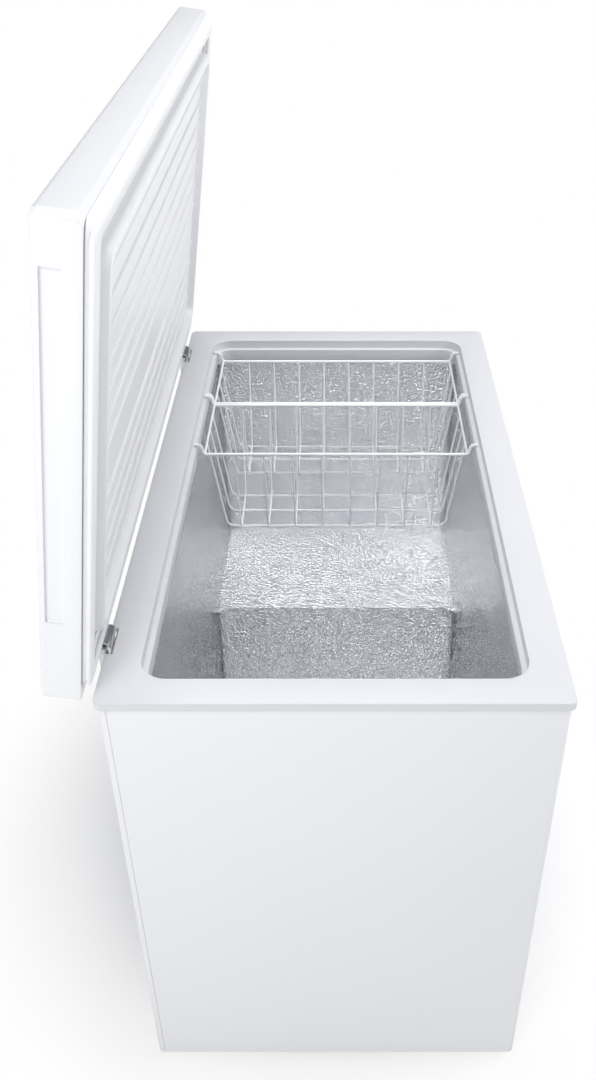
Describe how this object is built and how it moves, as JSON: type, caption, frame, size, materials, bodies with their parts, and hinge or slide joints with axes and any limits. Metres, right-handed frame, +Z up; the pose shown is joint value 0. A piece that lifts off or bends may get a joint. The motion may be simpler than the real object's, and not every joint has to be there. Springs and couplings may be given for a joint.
{
  "type": "chest freezer",
  "caption": "White chest freezer standing with its lid open: embossed metal liner, step over the machine bay, and wire baskets hung from the collar at one end.",
  "frame": {"origin": "on the floor, in the middle of the box that the freezer fills with its lid open as drawn", "axes": "+Z up, +Y towards the back where the hinges are, +X towards the end with the machine bay"},
  "size_m": [1.043, 0.6334, 1.3542],
  "materials": {
    "painted_steel": "gloss",
    "white_plastic": "satin",
    "lid_panel_plastic": "satin",
    "gasket_vinyl": "satin",
    "embossed_aluminium": "satin",
    "foam": "matte",
    "hinge_steel": "satin",
    "zinc_steel": "satin",
    "coated_wire": "gloss",
    "black_enamel": "satin",
    "copper": "satin",
    "black_rubber": "matte",
    "grey_plastic": "satin",
    "green_lens": "gloss"
  },
  "bodies": {
    "cabinet": {"cabinet_wrap": "painted_steel", "back_panel": "painted_steel", "base_pan": "zinc_steel", "top_collar": "white_plastic", "inner_liner": "embossed_aluminium", "cabinet_foam": "foam", "evaporator_tube": "copper", "condenser_tube": "copper", "compressor_plate": "zinc_steel", "compressor": "black_enamel", "compressor_grommet_1": "black_rubber", "compressor_grommet_2": "black_rubber", "compressor_grommet_3": "black_rubber", "compressor_grommet_4": "black_rubber", "relay_cover": "black_enamel", "discharge_pipe": "copper", "suction_pipe": "copper", "filter_drier": "copper", "drier_bracket": "zinc_steel", "side_grille": "grey_plastic", "control_panel": "grey_plastic", "thermostat": "zinc_steel", "indicator_lens": "green_lens", "drain_tube": "white_plastic", "drain_socket": "white_plastic", "cord_gland": "black_rubber", "foot_1": "black_rubber", "foot_2": "black_rubber", "foot_3": "black_rubber", "foot_4": "black_rubber", "hinge_left_base": "hinge_steel", "hinge_left_pin": "zinc_steel", "hinge_left_spring": "zinc_steel", "hinge_left_screw_a": "zinc_steel", "hinge_left_screw_b": "zinc_steel", "hinge_right_base": "hinge_steel", "hinge_right_pin": "zinc_steel", "hinge_right_spring": "zinc_steel", "hinge_right_screw_a": "zinc_steel", "hinge_right_screw_b": "zinc_steel"},
    "lid": {"lid_shell": "painted_steel", "lid_foam": "foam", "lid_liner": "lid_panel_plastic", "lid_gasket": "gasket_vinyl", "hinge_left_arm": "hinge_steel", "hinge_left_arm_screw_a": "zinc_steel", "hinge_left_arm_screw_b": "zinc_steel", "hinge_right_arm": "hinge_steel", "hinge_right_arm_screw_a": "zinc_steel", "hinge_right_arm_screw_b": "zinc_steel"},
    "basket_middle": {"basket_middle": "coated_wire"},
    "basket_right": {"basket_right": "coated_wire"},
    "thermostat_knob": {"thermostat_knob": "white_plastic"},
    "drain_plug": {"drain_plug": "grey_plastic"},
    "drain_cap": {"drain_cap": "white_plastic"}
  },
  "joints": [
    {"name": "lid_hinge", "type": "hinge", "parent": "cabinet", "child": "lid", "pos_m": [0, 0.26227, 0.7773], "axis": [-1, 0, 0], "range_deg": [-81.8, 0], "stiffness_Nm_per_rad": 14, "springref_deg": 11.46},
    {"name": "basket_middle_lift", "type": "slide", "parent": "cabinet", "child": "basket_middle", "axis": [0, 0, 1], "range_m": [0, 0.3]},
    {"name": "basket_right_lift", "type": "slide", "parent": "cabinet", "child": "basket_right", "axis": [0, 0, 1], "range_m": [0, 0.3]},
    {"name": "thermostat_turn", "type": "hinge", "parent": "cabinet", "child": "thermostat_knob", "pos_m": [0.432, -0.31443, 0.096], "axis": [0, -1, 0], "range_deg": [-135, 135]},
    {"name": "drain_plug_lift", "type": "slide", "parent": "cabinet", "child": "drain_plug", "axis": [0, 0, 1], "range_m": [0, 0.08]},
    {"name": "drain_cap_pull", "type": "slide", "parent": "cabinet", "child": "drain_cap", "axis": [0, -1, 0], "range_m": [0, 0.05]}
  ]
}
